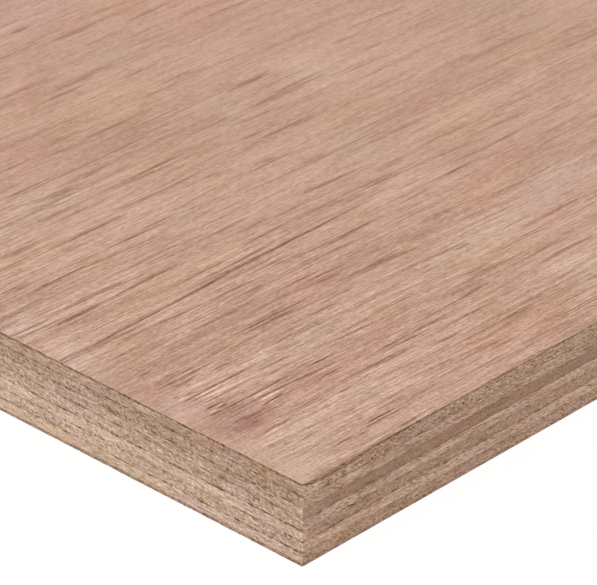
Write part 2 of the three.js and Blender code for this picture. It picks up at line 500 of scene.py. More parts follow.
# Stains on the face, in millimetres from the near corner along and across the grain: middle,
# reach both ways, how light, how rosy and how plum. Noughts at the end of a row are left out.
STAINS = (
    (8, 26.6, 5, 2.8, -24, -0.3, 0.3), (7, 34, 5, 3.5, -5, -0.1, 0.8),
    (8, 22, 5, 2.2, -32, 0.4, 1.6), (12, 26.5, 5, 2.5, -5, 0.1, 0.4), (16, 22.8, 5, 2.2, -16, 0.2),
    (3, 21.8, 3, 1.4, -18, 0.1, 0.1), (1.5, 26, 2.5, 2, -12, -0.3, -0.3),
    (1, 38, 2.5, 3, -10, -0.2, -0.4), (14, 38.8, 5, 1.3, 11), (8.5, 36.9, 5, 1, -6, -0.1, 0.2),
    (19.5, 34.6, 4.5, 1.8, 11, 0.4), (17.5, 29.5, 3.5, 1, 10, 0.4), (10, 20.2, 6, 1.2, 3, 1.1, 0.1),
    (18, 14.4, 5, 1, 10), (13, 30.5, 5, 3, 0, 0.1, 0.3), (23.5, 17.4, 4, 1.2, -14),
    (18.5, 12.8, 6, 1, -9), (23, 43, 5, 1.2, -9), (2, 33, 2.5, 4, 0, -0.5, -0.3),
    (7.5, 44.3, 2.5, 0.9, 10), (1.5, 44.5, 3, 1.2, -10), (4, 31, 2.5, 1.6, 8),
    (12, 31.8, 6, 1.2, -8), (11.2, 29.2, 3, 1, -11), (8, 27.8, 3.5, 1.1, -11),
    (16.8, 33.7, 2.5, 0.9, 9), (10.2, 25.6, 2.5, 0.9, 12), (21.5, 26.2, 4, 0.9, -9, 0.5),
    (20, 41, 4, 1.2, 8), (9.8, 41.6, 2, 0.8, 12), (13, 18.8, 3, 1, -8, 0.3), (20, 20, 4, 1.6, 12),
    (19.3, 23, 3, 1.4, 9), (20, 17, 2.5, 1, -11), (9, 15.9, 4, 0.9, -8),
    (7.5, 33, 2.5, 0.6, -13, 0, 0.3), (11.5, 29.9, 2.2, 0.5, -11), (7, 31, 3.5, 1.8, 0, 0.4, 0.5),
    (5, 17, 6, 3, 0, 0.4, 0.4), (1, 15, 3, 2, 0, -1.2, -0.5), (17, 15, 10, 3.5, 0, 0.5, -0.3),
    (14, 42.5, 5, 1.5, 0, 0.35, -0.4), (5.5, 23, 3, 1.5, -8, 0.2, 1.0),
    (11.5, 23.4, 2.5, 1.4, -12, 1.0, 1.0), (26, 23, 9, 3.5, -10, 1.4, 0.2),
    (44, 26, 14, 4, -10, 0.5), (8.5, 31.6, 3, 1.4, 8, 0, 0.4), (18, 33, 5, 3, 7, -0.6, 0.3),
    (5, 37.5, 3, 1.2, 9, -0.2, 0.4), (10, 15.5, 14, 2.3, 14, -0.6), (35, 14, 15, 4, 9, -0.5),
    (5, 4, 8, 4, 11, -0.8), (72, 3, 12, 3, -13, 0.3), (97, 17, 8, 6, 10, -1.2),
    (79, 14, 8, 4, -7, 0.1), (2, 36, 3, 8, 4, -0.4, 0.9), (2, 62, 3.5, 9, 11, -1.2, 0.7),
    (2, 79, 6, 5, 14, -1.3, 0.7), (4.5, 44, 3, 3, -2, 0.9, 0.6), (8, 53, 4.5, 4, -14, 0.8, -0.2),
    (24, 47, 22, 4, -6, 0.3), (56.5, 55.5, 5, 2, 0, 0.7), (70, 33, 6, 3, -8, 0.3),
    (80, 38, 16, 3.5, 6, -0.5), (84, 24, 16, 4, -9, 0.1), (106, 47, 13, 4, 11, 0.4, -0.5),
    (127, 46, 9, 4, 4, -0.8), (108, 33, 8, 3, -3, 0.9, 0.8), (13, 61.5, 10, 2.5, 10, -0.2),
    (22, 48.5, 6, 2, 8), (11, 73.5, 6, 2.5, -8, 0.3, 0.4), (20, 77, 11, 3, 10),
    (46, 70.5, 14, 3, 13, 0.3, -0.3), (66, 73, 6, 1.5, 0, 1.1), (75, 71, 6, 2, 7, -0.4),
    (84, 84, 13, 6, 8), (98, 67, 8, 4, 7, -0.5), (102, 79, 8, 3, -8, -0.8, 0.2), (43, 87, 10, 3, 6),
    (80, 99, 6, 5, -1, 0.9), (41, 111, 10, 4, 10, -1.2), (122, 115, 6, 5, 8, -1.4),
    (78, 120, 15, 6, -11), (97, 113, 3, 3, 6, -1.1), (112, 117, 8, 2.5, -5, 0.9),
    (53, 131, 8, 6, -8, 1.0), (71, 149, 5, 6, -4, 0.8, 0.4), (100, 168, 14, 8, -2, 0.7, 0.3),
    (22, 112, 7, 6, 8, -1.4, -0.8), (38, 113, 8, 5, 7, -0.3, -0.3), (26, 63, 8, 2.5, 8),
    (24, 57.5, 9, 2, -7), (48, 68, 12, 2.2, 9), (80, 62.5, 12, 2, -6), (98, 63, 12, 3, 6),
    (45, 57, 6, 2, 6), (66, 47.5, 8, 2, 6), (95, 33, 5, 2, 7), (42, 17.5, 11, 2, 6),
    (50, 7.5, 12, 2.5, -6), (29, 7.5, 9, 2, 6), (68, 9, 14, 6, 0, 0.9), (75, 1.5, 18, 2, -6),
    (36, 2, 8, 2, -6), (108, 52, 9, 4, 0, 1.0, -0.3), (18, 75, 10, 5, 7), (4, 68, 5, 6, 6),
    (7, 14, 9, 2.5, 6), (3, 3, 8, 3, 6), (70, 118, 18, 8, -8), (68, 131, 14, 8, -5, 0.8),
    (125, 56, 14, 5, -10, 0.8), (140, 88, 17, 5, -9), (165, 111, 11, 8, -9), (110, 130, 12, 6, 6),
    (98, 145, 13, 4, 6), (84, 158, 10, 5, -6, 0.6), (140, 73, 14, 3.5, 6), (93, 28, 11, 5, 0, 0.8),
    (125, 152, 12, 8, 0, 0.8), (128, 75, 6, 8, 0, 0.7), (163, 88, 12, 4, 0, 0.7),
    (116, 42, 12, 5, 0, -0.8, 0.9), (105, 85, 8, 5, 0, -0.7), (100, 180, 14, 9, 0, 0, 0.8),
    (30, 111, 9, 8, 0, 0, 0.8), (54, 50, 22, 6, -5, 0.1, 0.3), (40, 36, 25, 3.5, 4, -0.4),
    (101, 40, 10, 4, 5, -0.6), (50, 62, 12, 3, -5, -0.5), (68, 101, 10, 6, -3, -0.5, -0.3),
    (75, 136, 14, 7, 2, -0.6, -0.4), (98, 155, 9, 5, 0, -0.6, -0.3), (88, 106, 14, 7, -5),
    (108, 104, 12, 8, -5), (128, 62, 14, 5, -4, 0.3, 0.5), (55, 32, 12, 4, -3, 0.6),
    (95, 21, 7, 5, 5), (172, 97, 15, 12, -4), (118, 165, 10, 6, -5, 0.5), (78, 78, 10, 4, 5),
    (28, 90, 7, 10, 0, 0.6), (60, 88, 8, 6, 0, -0.6), (36, 55, 15, 4, 0, -0.4),
    (28, 28, 7, 4, 0, -0.5), (140, 118, 12, 8, 0, 0, 0.6), (95, 155, 10, 6, 0, 0, -0.6),
    (30, 45, 18, 4, 0, 0, -0.5), (80, 22, 10, 5, 0, 0, -0.6), (42, 22, 11, 5, 0, 0, 0.5),
)


RAGGED_ALONG_MM, RAGGED_ACROSS_MM = 4, 1.6  # how far the rims of the stains wander


def face_stains(x, y):
    """The lift, rosiness and plum that STAINS give points of the face: a sum of bells as on the
    edges, with the points moved by noise so that the stains have ragged rims."""
    x, y = x + HALF_LENGTH_MM, y + HALF_WIDTH_MM
    ragged_x = x + RAGGED_ALONG_MM * rough(750, x / 12, y / 4)
    ragged_y = y + RAGGED_ACROSS_MM * rough(760, x / 9, y / 3)
    total = np.zeros((*x.shape, 3))
    for along, across, wide, tall, *strengths in STAINS:
        off = ((ragged_x - along) / wide) ** 2 + ((ragged_y - across) / tall) ** 2
        total += np.exp(-off)[..., None] * all_three(strengths)
    return total


GROOVE_MM, GROOVE_REACH_MM = 0.09, 0.13  # the groove along a glue line: depth and half width
TORN_MM = 0.1  # depth of the patches where the saw tore the end grain out
UNGLUED_MM = 9.0  # stands for the distance to a glue line where a ply has none


def edge_relief(k, height, below, above, end):
    """How far the sawn edge of ply k lies inside the outline, in millimetres: the sum of a groove
    that falls off from each glue line as exp(-d^2) and the ply's own relief, which is of fibres
    along the grain, and of cells and torn patches across it. below and above are the distances
    to the ply's two glue lines, and end is 1 where the grain meets the edge."""
    a = UNROLLED_MM[None, :] + 0 * height
    z = height
    below, above = below + UNGLUED_MM * (k == BACK), above + UNGLUED_MM * (k == FACE)
    groove = GROOVE_MM * np.exp(-((np.minimum(below, above) / GROOVE_REACH_MM) ** 2))
    groove = groove * (0.6 + 0.4 * noise(k, a / 2.1, z * 0))
    fibres = 0.02 + 0.02 * rough(100 + k, a / 9, z / 0.25)
    cells = 0.04 + 0.045 * rough(200 + k, a / 0.9, z / 0.55)
    torn = TORN_MM * ease(noise(300 + k, a / 1.7, z / 0.6), 0.45, 0.9)
    return np.maximum(groove + (1 - end) * fibres + end * (cells + torn), 0)


THIN_VENEER_MM = 1.0  # a veneer thinner than this has fewer rows up its edge
THIN_ROWS, THICK_ROWS = 4, 10
CROWDED, EVEN = 0.45, 0.55  # how much the rows crowd towards the glue lines


def edge_rows(k):
    """Rows of vertices up the sawn edge of ply k, shape (rows, columns, 3), with what their
    finish needs: how they lie, as the distance to the glue line below and above and end, their
    marks, as lift, rosiness and plum, and how dark the nearest glue line is; at the foot of the
    back veneer that darkness is painted shade."""
    bottom, top = glue_level(k), glue_level(k + 1)
    thickness = LEVELS_MM[k + 1] - LEVELS_MM[k]
    count = THIN_ROWS if thickness < THIN_VENEER_MM else THICK_ROWS
    share = 0.5 - 0.5 * np.cos(np.linspace(0, np.pi, count))
    share = CROWDED * share + EVEN * np.linspace(0, 1, count)
    height = bottom + (top - bottom) * share[:, None]
    below, above = height - bottom, top - height
    facing_end = NORMALS[None, :, 0] ** 2 + 0 * height
    end = facing_end if not LAY_UP[k].startswith("cross") else 1 - facing_end
    inset = edge_relief(k, height, below, above, end)
    where = POINTS_MM[None] - NORMALS[None] * inset[..., None]
    rows = np.concatenate([where, height[..., None]], -1)
    # how dark each glue line is; under the back veneer, where there is no glue, it is painted shade
    glues_and_shades = [by_side(SIDE_GLUE_AND_SHADE[line], END_GLUE_AND_SHADE[line]) for line in (k, k + 1)]
    glue_and_shade = np.where(below < above, *glues_and_shades)
    return rows, np.stack([below, above, end], -1), edge_marks(height), glue_and_shade


def zip_rings(outer, outer_at, inner, inner_at):
    """Triangles between two closed rings of vertices. Both rings give each vertex a rising place
    from 0 to 4 round the sheet, and each edge of one ring is joined to the vertex of the other
    that lies beside its middle."""

    def middles(at):
        return (at + np.append(at[1:], 4)) / 2

    outer_mid, inner_mid = middles(outer_at), middles(inner_at)
    beside_outer = np.searchsorted(inner_mid, outer_mid, side="left") % len(inner)
    beside_inner = np.searchsorted(outer_mid, inner_mid, side="right") % len(outer)
    return np.concatenate(
        [
            np.stack([outer, np.roll(outer, -1), inner[beside_outer]], 1),
            np.stack([np.roll(inner, -1), inner, outer[beside_inner]], 1),
        ]
    )


def place_round(points):
    """Where each point of the outline lies round the sheet: the number of its side, 0 to 3, plus
    the share of that side behind it, as measured between the corners of the inner grid."""
    x, y = points[:, 0], points[:, 1]
    gap = [y + HALF_WIDTH_MM, HALF_LENGTH_MM - x, HALF_WIDTH_MM - y, x + HALF_LENGTH_MM]
    side = np.argmin(gap, axis=0)
    share_x = np.clip(0.5 + x / (2 * GRID_HALF_LENGTH_MM), 0, 1)
    share_y = np.clip(0.5 + y / (2 * GRID_HALF_WIDTH_MM), 0, 1)
    place = side + np.choose(side, [share_x, share_y, 1 - share_x, 1 - share_y])
    beyond = (np.arange(len(place)) > len(place) / 2) & (place < 1)  # the last corner's last half
    return np.where(beyond, 4, place)


def mesh_object(name, vertices, quads, triangles, lie, mark, glue_and_shade, smooth, skin):
    """A mesh object of the vertices, in millimetres, with its faces, what the finish of each
    vertex needs, and which faces are smooth and which are skin, with the second material."""
    mesh = bpy.data.meshes.new(name)
    faces = len(quads) + len(triangles)
    corners = np.concatenate([quads.ravel(), triangles.ravel()])
    starts = np.concatenate(
        [4 * np.arange(len(quads)), 4 * len(quads) + 3 * np.arange(len(triangles))]
    )
    mesh.vertices.add(len(vertices))
    mesh.vertices.foreach_set("co", (vertices * MM).astype(np.float32).ravel())
    mesh.loops.add(len(corners))
    mesh.loops.foreach_set("vertex_index", corners.astype(np.int32))
    mesh.polygons.add(faces)
    mesh.polygons.foreach_set("loop_start", starts.astype(np.int32))
    mesh.polygons.foreach_set("use_smooth", smooth)
    mesh.polygons.foreach_set("material_index", skin.astype(np.int32))
    for title, values in ("lie", lie), ("mark", mark):
        attribute = mesh.attributes.new(title, "FLOAT_VECTOR", "POINT")
        attribute.data.foreach_set("vector", values.astype(np.float32).ravel())
    attribute = mesh.attributes.new("glue_and_shade", "FLOAT", "POINT")
    attribute.data.foreach_set("value", glue_and_shade.astype(np.float32))
    mesh.update(calc_edges=True)
    mesh.validate()
    made = bpy.data.objects.new(name, mesh)
    bpy.context.scene.collection.objects.link(made)
    return made


def loop_of_grid(xs, ys):
    """Index and place of the boundary vertices of a grid, anticlockwise from its near corner."""
    index = np.arange(len(xs) * len(ys)).reshape(len(ys), len(xs))
    ring = np.concatenate([index[0, :-1], index[:-1, -1], index[-1, :0:-1], index[:0:-1, 0]])
    share_x = (xs - xs[0]) / (xs[-1] - xs[0])
    share_y = (ys - ys[0]) / (ys[-1] - ys[0])
    place = [share_x[:-1], 1 + share_y[:-1], 3 - share_x[:0:-1], 4 - share_y[:0:-1]]
    return ring, np.concatenate(place)


def graded(half, fine, coarse):
    """Places from -half to half, set in by GRID_INSET_MM: fine steps for the first FINE_REACH_MM,
    then steps that grow to coarse ones, set out by a walk as those of the outline are."""
    walk = np.arange(GRID_INSET_MM - half, half - GRID_INSET_MM, GRID_PACE_MM)
    step = fine + (coarse - fine) * ease(walk + half, FINE_REACH_MM, 2 * FADE_MM)
    cells = np.cumsum(GRID_PACE_MM / step)
    return np.interp(np.linspace(cells[0], cells[-1], int(cells[-1]) + 1), cells, walk)


def flat_grid(level):
    """A coarse flat grid for a glued face, which never shows."""
    xs = np.linspace(-GRID_HALF_LENGTH_MM, GRID_HALF_LENGTH_MM, GLUED_COLUMNS)
    ys = np.linspace(-GRID_HALF_WIDTH_MM, GRID_HALF_WIDTH_MM, GLUED_ROWS)
    x, y = np.meshgrid(xs, ys)
    return xs, ys, np.stack([x, y, np.full_like(x, level)], -1)


RIDGE_MM = 0.012  # half the depth between the ridges of the face's grain
BILLOW_MM = 0.02  # and between its broad waves


def skin_depth(x, y):
    """How far the face lies below its level, in millimetres: long low ridges of the grain, and
    the faint waves of the veneers under it."""
    ridges = rough(700, x / 60, y / 2.6, 2)
    waves = rough(710, x / 90, y / 70, 2)
    return RIDGE_MM * (1 + ridges) + BILLOW_MM * (1 + waves)


def skin_grid(level, outward):
    """A graded grid for a face that shows, with the relief of its grain. outward is 1 for the
    face, which looks up, and -1 for the back."""
    xs = graded(HALF_LENGTH_MM, FACE_STEP_MM if outward > 0 else BACK_STEP_MM, FAR_STEP_MM)
    ys = graded(HALF_WIDTH_MM, ACROSS_STEP_MM, FAR_ACROSS_MM)
    x, y = np.meshgrid(xs, ys)
    return xs, ys, np.stack([x, y, level - outward * skin_depth(x, y)], -1)


def arris_rows(level, outward):
    """Rows from the sawn edge in over a face that shows, with the face's worn edge. The back's is
    sharp."""
    rows = []
    for inset in ARRIS_INSETS_MM:
        x = POINTS_MM[:, 0] * (1 - inset / HALF_LENGTH_MM)
        y = POINTS_MM[:, 1] * (1 - inset / HALF_WIDTH_MM)
        worn = worn_away(inset) if outward > 0 else 0
        z = level - outward * (worn + skin_depth(x, y) * min(1, inset))
        rows.append(np.stack([x, y, z], -1))
    return np.stack(rows)


def veneer(k):
    """Ply k as one closed mesh: the rows of its sawn edge, and a grid inside each of its faces."""
    rows, lie, mark, glue_and_shade = edge_rows(k)
    is_back, is_face = k == BACK, k == FACE
    strip_is_skin = np.zeros(len(rows) - 1, bool)
    if is_face or is_back:
        arris = arris_rows(TOP_MM, 1) if is_face else arris_rows(0.0, -1)[::-1]
        stains = (face_stains(arris[..., 0], arris[..., 1]) + scuffed()) * is_face
        worn, bare = np.ones(len(arris), bool), np.zeros(arris.shape[:2])
        parts = (rows, arris), (lie, 0 * arris), (mark, stains), (glue_and_shade, bare), (strip_is_skin, worn)
        order = slice(None) if is_face else slice(None, None, -1)
        rows, lie, mark, glue_and_shade, strip_is_skin = [np.concatenate(part[order]) for part in parts]
    count = rows.shape[0]
    index = np.arange(count * COLUMNS).reshape(count, COLUMNS)
    right = np.roll(index, -1, axis=1)
    quads = [np.stack([index[:-1], right[:-1], right[1:], index[1:]], -1).reshape(-1, 4)]
    vertices, lies, marks = [rows.reshape(-1, 3)], [lie.reshape(-1, 3)], [mark.reshape(-1, 3)]
    glues_and_shades, triangles, skins = [glue_and_shade.ravel()], [], [np.repeat(strip_is_skin, COLUMNS)]
    total, outer_at = index.size, place_round(POINTS_MM)
    lower = skin_grid(0.0, -1) if is_back else flat_grid(LEVELS_MM[k])
    upper = skin_grid(TOP_MM, 1) if is_face else flat_grid(LEVELS_MM[k + 1])
    sides = (index[0], lower, False, is_back), (index[-1], upper, True, is_face)
    for ring, (xs, ys, grid), up, shows in sides:
        inner, inner_at = loop_of_grid(xs, ys)
        cells = total + np.arange(grid.shape[0] * grid.shape[1]).reshape(grid.shape[:2])
        faces = np.stack([cells[:-1, :-1], cells[:-1, 1:], cells[1:, 1:], cells[1:, :-1]], -1)
        faces = faces.reshape(-1, 4)
        strip = zip_rings(ring, outer_at, inner + total, inner_at)
        quads.append(faces if up else faces[:, ::-1])
        triangles.append(strip if up else strip[:, ::-1])
        vertices.append(grid.reshape(-1, 3))
        lies.append(np.zeros((cells.size, 3)))
        marks.append((face_stains(grid[..., 0], grid[..., 1]) * (up and shows)).reshape(-1, 3))
        glues_and_shades.append(np.zeros(cells.size))
        skins.append(np.full(len(faces), shows))
        total += cells.size
    skins += [np.full(len(strip), shows) for strip, shows in zip(triangles, (is_back, is_face))]
    skin = np.concatenate(skins)
    smooth = skin | (np.arange(len(skin)) < len(quads[0]))
    shape = [np.concatenate(part) for part in (vertices, quads, triangles, lies, marks, glues_and_shades)]
    return mesh_object(LAY_UP[k] + "_wood", *shape, smooth, skin)


# ---------------------------------------------------------------- finishes


SLANT = 0.61  # how far a long noise square slides along the grain from one row to the next
SEED_OFFSET = (31.7, 17.9)  # how far apart two seeds lie in the plane of the noise
FLAT = 1e6  # as a scale, it shrinks a coordinate to nothing
TONE_STEPS = 9  # of the scale from black to white that gives a wood its tint
FULL_TINT = 1.6  # the hue or cast at which a stain's tint is in full
SHEEN = 0.3  # strength of the mirror-like part of the finish
MIX_SHARE, MIX_FIRST, MIX_SECOND, MIX_OUT = 0, 6, 7, 2  # sockets of a Mix node set to colours

# Tints of the woods at no brightness and at full, and what stains multiply them by
FACE_TINTS = (35.5, -13.3, -41.5), (23, -9.8, -28.5)
EDGE_TINTS = (31.5, -10.5, -39), (15.5, -5.5, -22)
ROSY = (1.064, 0.961, 0.965)
GREY = (0.945, 1.022, 1.022)
PLUM = (1.0, 0.968, 1.12)
STRAW = (1.012, 1.008, 0.88)


class Field:
    """A number that varies over a surface: the output of a node. Sums, products and the other
    methods add the nodes that work them out."""

    def __init__(self, tree, socket):
        self.tree, self.socket = tree, socket

    def math(self, operation, *others):
        made = add_node(self.tree, "ShaderNodeMath", self, *others, operation=operation)
        return Field(self.tree, made.outputs[0])

    def __add__(self, other):
        return self.math("ADD", other)

    def __mul__(self, other):
        return self.math("MULTIPLY", other)

    def __sub__(self, other):
        return self.math("SUBTRACT", other)

    def __truediv__(self, other):
        return self.math("DIVIDE", other)

    __radd__, __rmul__ = __add__, __mul__

    def __rsub__(self, other):
        return self * -1 + other

    def __abs__(self):
        return self.math("ABSOLUTE")

    def least(self, other):
        return self.math("MINIMUM", other)

    def most(self, other):
        return self.math("MAXIMUM", other)

    def eased(self, low, high, most=1.0):
        """0 below low and most above high, or the other way round, eased between them."""
        span = {"From Min": low, "From Max": high, "To Max": most}
        kind, curve = "ShaderNodeMapRange", "SMOOTHSTEP"
        made = add_node(self.tree, kind, self, named=span, interpolation_type=curve)
        return Field(self.tree, made.outputs[0])


def srgb(red, green, blue):
    """A colour given as 0 to 255 on screen, as the linear colour that a shader takes, by the
    standard curve: a straight line near black, and a power of 2.4 above it."""
    share = np.array([red, green, blue]) / 255
    linear = np.where(share <= 0.04045, share / 12.92, ((share + 0.055) / 1.055) ** 2.4)
    return (*linear.tolist(), 1.0)


class Wood:
    """One wood finish while its nodes are laid out."""

    def __init__(self, name):
        self.material = bpy.data.materials.new(name)
        self.tree = cleared_tree(self.material)
        place = self.add("ShaderNodeTexCoord").outputs["Object"]
        in_mm = self.add("ShaderNodeVectorMath", place, (1 / MM,) * 3, operation="MULTIPLY")
        self.x, self.y, self.z = self.parts(in_mm.outputs[0])
        self.below, self.above, self.end = self.parts(self.attribute("lie", "Vector"))
        self.lift, self.rosy, self.plum = self.parts(self.attribute("mark", "Vector"))
        self.glue_and_shade = Field(self.tree, self.attribute("glue_and_shade", "Fac"))

    def add(self, kind, *values, **settings):
        return add_node(self.tree, kind, *values, **settings)

    def attribute(self, name, output):
        """What the mesh holds for each vertex under this name."""
        return self.add("ShaderNodeAttribute", attribute_name=name).outputs[output]

    def parts(self, vector):
        """The three coordinates of a vector."""
        split = self.add("ShaderNodeSeparateXYZ", vector)
        return [Field(self.tree, out) for out in split.outputs]

    def slanted(self, seed, u, v, slant):
        """The plane of u and v in slanted squares, so that a long one never lines up with its
        neighbours. Each seed, which may be a field, has a part of the plane to itself."""
        across, down = SEED_OFFSET
        u, v = u + v * slant + seed * across, v + seed * down
        return self.add("ShaderNodeCombineXYZ", u, v).outputs[0]

    def noise(self, seed, u, v, detail=2.0, roughness=0.5, slant=SLANT):
        """Noise from about -1 to 1 over the plane of u and v."""
        point = self.slanted(seed, u, v, slant)
        named = {"Scale": 1, "Detail": detail, "Roughness": roughness}
        made = self.add("ShaderNodeTexNoise", point, named=named, noise_dimensions="2D")
        return Field(self.tree, made.outputs["Fac"]) * 2 - 1

    def specks(self, seed, u, v):
        """Distance from the nearest of the points scattered one to each slanted square of u and
        v, and two random numbers that are the same all round each point."""
        point = self.slanted(seed, u, v, SLANT)
        made = self.add("ShaderNodeTexVoronoi", point, named={"Scale": 1}, voronoi_dimensions="2D")
        first, second, _ = self.parts(made.outputs["Color"])
        return Field(self.tree, made.outputs["Distance"]), first, second

    def spindle(self, point, begin, end, half_width, depth):
        """depth down the middle of a long thin spindle from begin to end, falling to 0 at its
        edge: the point is turned and shrunk so that the spindle is a circle of radius 1, and its
        third coordinate is shrunk to nothing. Inside a fifth of that radius the depth is full."""
        begin, end = np.array(begin), np.array(end)
        run, rise = end - begin
        placed = {
            "Location": (*(begin + end) / 2, 0),
            "Rotation": (0, 0, np.arctan2(rise, run)),
            "Scale": (np.hypot(run, rise) / 2, half_width, FLAT),
        }
        local = self.add("ShaderNodeMapping", point, named=placed, vector_type="TEXTURE")
        out = self.add("ShaderNodeVectorMath", local.outputs[0], operation="LENGTH")
        return Field(self.tree, out.outputs["Value"]).eased(1.0, 0.2, depth)

    def streaked(self, tone, x, y, streaks):
        """The tone with each of the streaks taken off it as a spindle. It rides along as the
        point's third coordinate, so that the streaks are worked out one after another: a shader
        has no room for all of them at once."""
        point = self.add("ShaderNodeCombineXYZ", x, y, tone).outputs[0]
        for *ends, half_width, depth in streaks:
            spindle = self.spindle(point, ends[:2], ends[2:], half_width, depth)
            drop = self.add("ShaderNodeCombineXYZ", 0.0, 0.0, spindle).outputs[0]
            point = self.add("ShaderNodeVectorMath", point, drop, operation="SUBTRACT").outputs[0]
        return self.parts(point)[2]

    def toned(self, tone, dark_tint, light_tint):
        """The colour of a wood of brightness tone, 0 to 1 on screen. The tints are how far its
        red, green and blue lie off that at 0 and at 1, on the scale to 255, and over the darkest
        third they fade out."""
        made = self.add("ShaderNodeValToRGB", tone)
        scale = made.color_ramp
        for _ in range(TONE_STEPS - 2):
            scale.elements.new(0.5)
        for element, level in zip(scale.elements, np.linspace(0, 1, TONE_STEPS)):
            tint = np.array(dark_tint) * (1 - level) + np.array(light_tint) * level
            element.position = level
            element.color = srgb(*np.clip(255 * level + tint * min(1, 3 * level), 0, 255))
        return made.outputs[0]

    def tinted(self, colour, share, tint):
        """The colour with its red, green and blue multiplied by tint where share is 1."""
        named = {MIX_SHARE: share, MIX_FIRST: colour, MIX_SECOND: (*tint, 1.0)}
        made = self.add("ShaderNodeMix", named=named, data_type="RGBA", blend_type="MULTIPLY")
        return made.outputs[MIX_OUT]

    def coloured(self, tone, tints, hue, cast):
        """The colour of wood of a brightness tone, 0 to 255 on screen. It turns from grey to rosy
        as hue falls below 0, and from straw to plum as cast does, both in full at FULL_TINT."""
        colour = self.toned(tone / 255, *tints)
        for share, tint in ((hue * -1, ROSY), (hue, GREY), (cast * -1, PLUM), (cast, STRAW)):
            colour = self.tinted(colour, share / FULL_TINT, tint)
        return colour

    def finish(self, colour, roughness, height):
        """Ends the material: colour, roughness from 0 to 1, and the height of its relief in mm."""
        relief = {"Strength": 1, "Distance": MM, "Height": height}
        bump = self.add("ShaderNodeBump", named=relief).outputs[0]
        look = {"Base Color": colour, "Roughness": roughness, "Specular IOR Level": SHEEN}
        shader = self.add("ShaderNodeBsdfPrincipled", named=look | {"Normal": bump})
        self.add("ShaderNodeOutputMaterial", shader.outputs[0])
        return self.material


